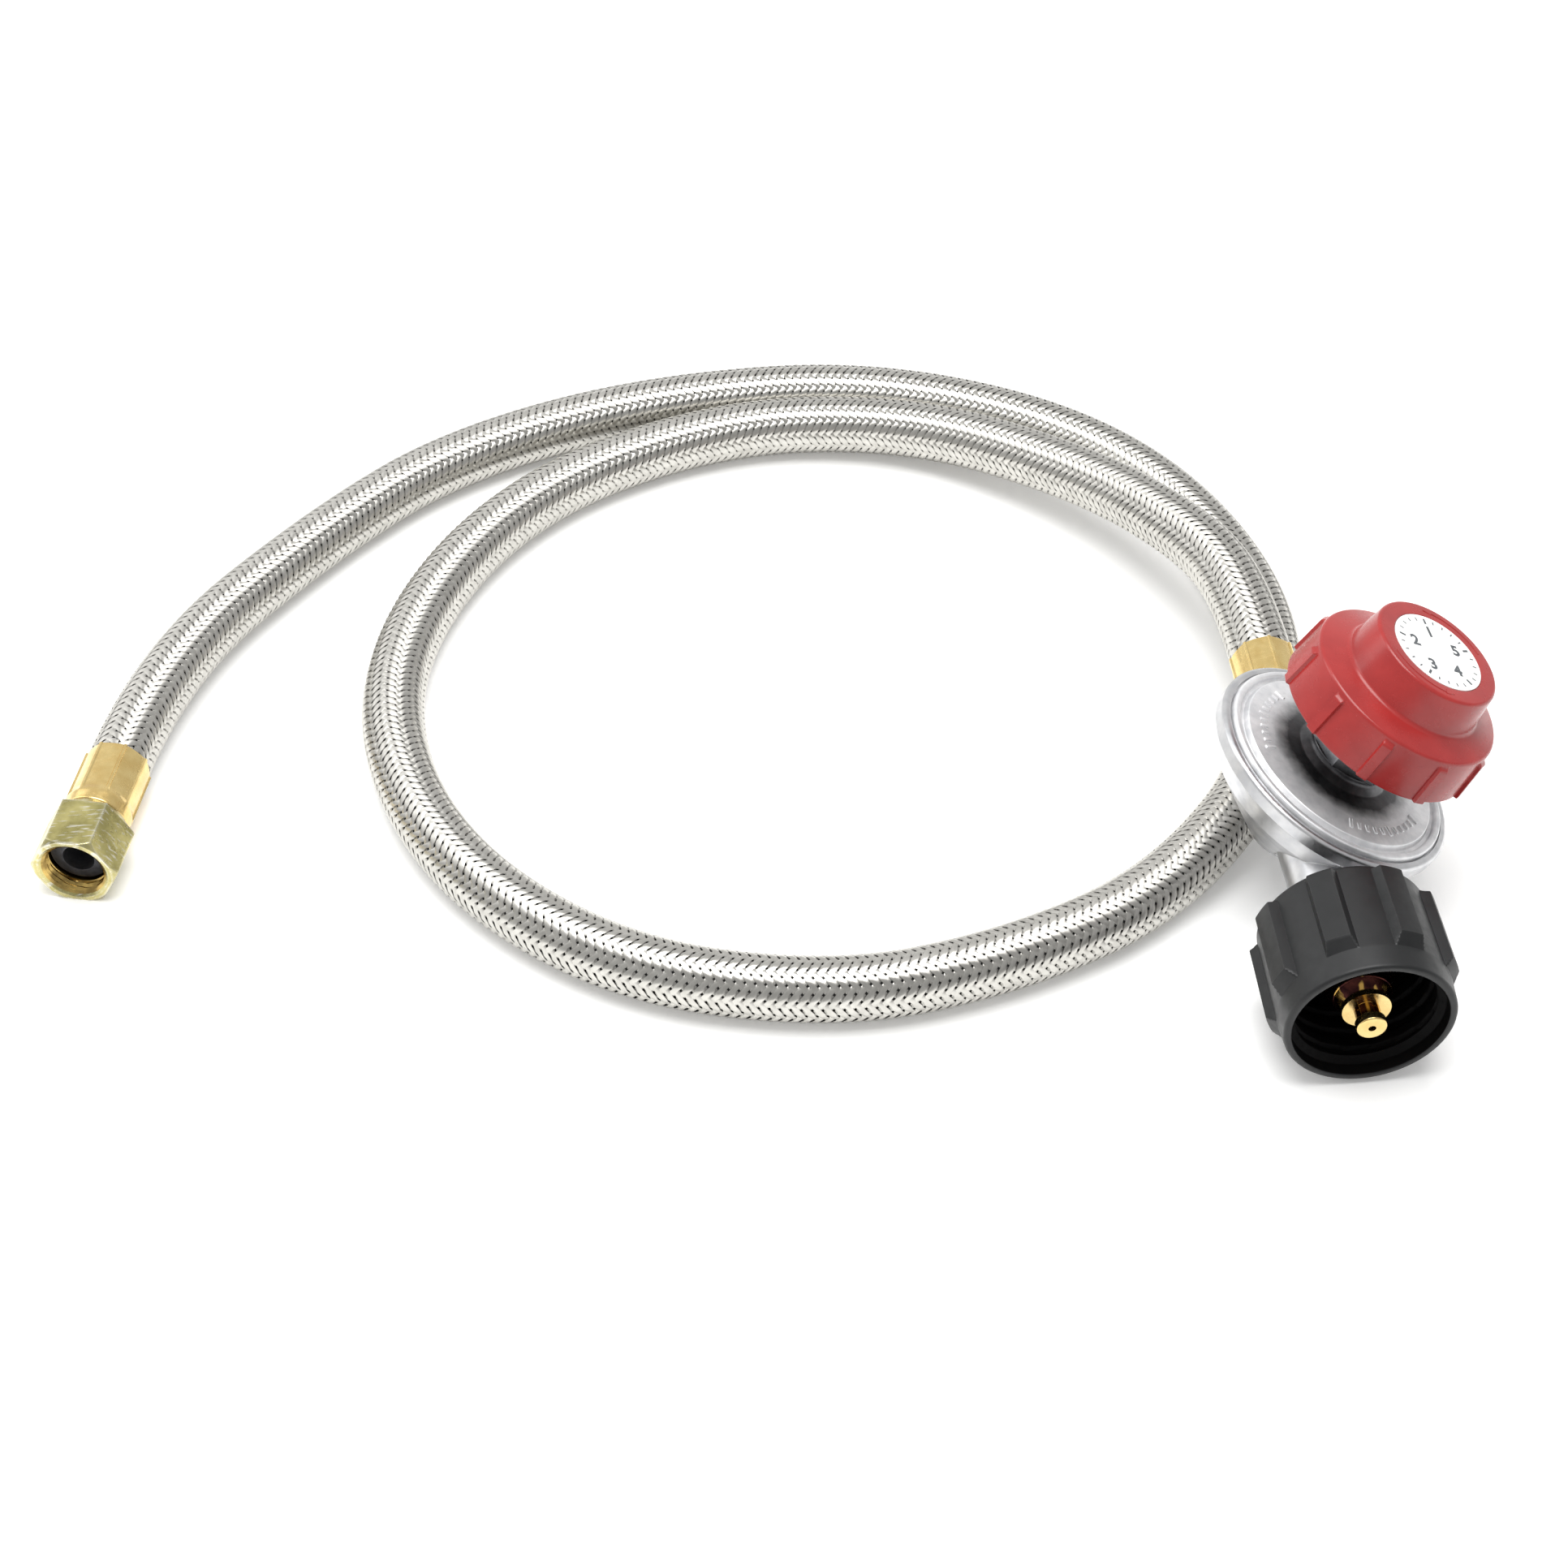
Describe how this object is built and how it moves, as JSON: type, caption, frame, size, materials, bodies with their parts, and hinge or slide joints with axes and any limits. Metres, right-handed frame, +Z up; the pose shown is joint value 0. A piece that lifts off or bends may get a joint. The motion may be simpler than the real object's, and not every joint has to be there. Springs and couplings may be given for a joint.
{
  "type": "propane regulator hose",
  "caption": "Gas regulator with an adjusting knob and a ribbed hand nut, on a looped steel-braided hose that ends in a flare swivel nut.",
  "frame": {"origin": "on the surface it lies on, under the middle of the regulator's box, without the hose", "axes": "+Y from the hand nut's mouth towards the outlet, +Z up, the knob leans towards +X"},
  "size_m": [0.3457, 0.2747, 0.0778],
  "materials": {
    "knob_red": "moulded, satin gloss",
    "label_white": "smooth printed film",
    "cast_zinc": "bare die casting, satin",
    "bright_zinc": "bright zinc plate",
    "bright_steel": "machined or pressed steel",
    "steel_braid": "woven stainless wire",
    "brass": "turned brass",
    "dark_brass": "turned, dark in the nut's shade",
    "yellow_zinc": "yellow passivated plating",
    "nut_black": "moulded, fine matt",
    "bush_plastic": "moulded",
    "black_rubber": "smooth"
  },
  "bodies": {
    "regulator": {"lower_body": "cast_zinc", "bonnet": "cast_zinc", "vent_screen": "bright_steel", "bonnet_bushing": "bright_zinc", "diaphragm": "black_rubber", "lever_pin": "bright_steel", "inlet_orifice": "brass", "inlet_nipple": "brass", "thermal_bushing": "bush_plastic", "nipple_probe": "brass", "outlet_stem": "brass", "outlet_ferrule": "brass", "hose_braid": "steel_braid", "hose_liner": "black_rubber", "end_ferrule": "brass", "end_stem": "dark_brass", "main_spring": "bright_steel", "poppet_spring": "bright_steel"},
    "button": {"spring_button": "bright_steel"},
    "knob": {"control_knob": "knob_red", "knob_label": "label_white", "knob_screw": "bright_steel", "adjusting_screw": "brass"},
    "diaphragm_stack": {"diaphragm_plate": "bright_steel", "diaphragm_stem": "bright_steel"},
    "bell_crank": {"lever": "bright_steel"},
    "valve": {"valve_slider": "brass", "seat_disc": "black_rubber"},
    "cylinder_nut": {"hand_nut": "nut_black"},
    "swivel_nut": {"flare_nut": "yellow_zinc"},
    "poppet": {"flow_poppet": "brass"}
  },
  "joints": [
    {"name": "button_slide", "type": "slide", "parent": "regulator", "child": "button", "axis": [-0.4695, 0.032, -0.8824], "range_m": [0, 0.0045], "deforming": ["main_spring"]},
    {"name": "knob_turn", "type": "hinge", "parent": "button", "child": "knob", "pos_m": [0.01283, 0.00881, 0.0633], "axis": [-0.4695, 0.032, -0.8824], "range_deg": [0, 1080]},
    {"name": "diaphragm_stroke", "type": "slide", "parent": "regulator", "child": "diaphragm_stack", "axis": [-0.4695, 0.032, -0.8824], "range_m": [0, 0.0015], "stiffness_N_per_m": 300, "deforming": ["diaphragm"]},
    {"name": "lever_tilt", "type": "hinge", "parent": "regulator", "child": "bell_crank", "pos_m": [-0.01135, 0.00047, 0.01749], "axis": [-0.8829, -0.017, 0.4692], "range_deg": [0, 8.6]},
    {"name": "valve_slide", "type": "slide", "parent": "regulator", "child": "valve", "axis": [0, 0.9993, 0.0363], "range_m": [0, 0.00098]},
    {"name": "hand_nut_spin", "type": "hinge", "parent": "regulator", "child": "cylinder_nut", "pos_m": [-0.0083, -0.04971, 0.02141], "axis": [0, -0.9993, -0.0363], "continuous": true},
    {"name": "flare_nut_spin", "type": "hinge", "parent": "regulator", "child": "swivel_nut", "pos_m": [-0.3028, 0.0279, 0.00953], "axis": [-0.225, -0.9744, 0], "continuous": true},
    {"name": "poppet_slide", "type": "slide", "parent": "regulator", "child": "poppet", "axis": [0, 0.9993, 0.0363], "range_m": [0, 0.0015], "stiffness_N_per_m": 150, "deforming": ["poppet_spring"]}
  ],
  "couplings": [
    {"joint": "button_slide", "follows": "knob_turn", "m_per_rad": 0.00023873},
    {"joint": "lever_tilt", "follows": "diaphragm_stroke", "rad_per_m": 100},
    {"joint": "valve_slide", "follows": "diaphragm_stroke", "ratio": 0.65}
  ]
}
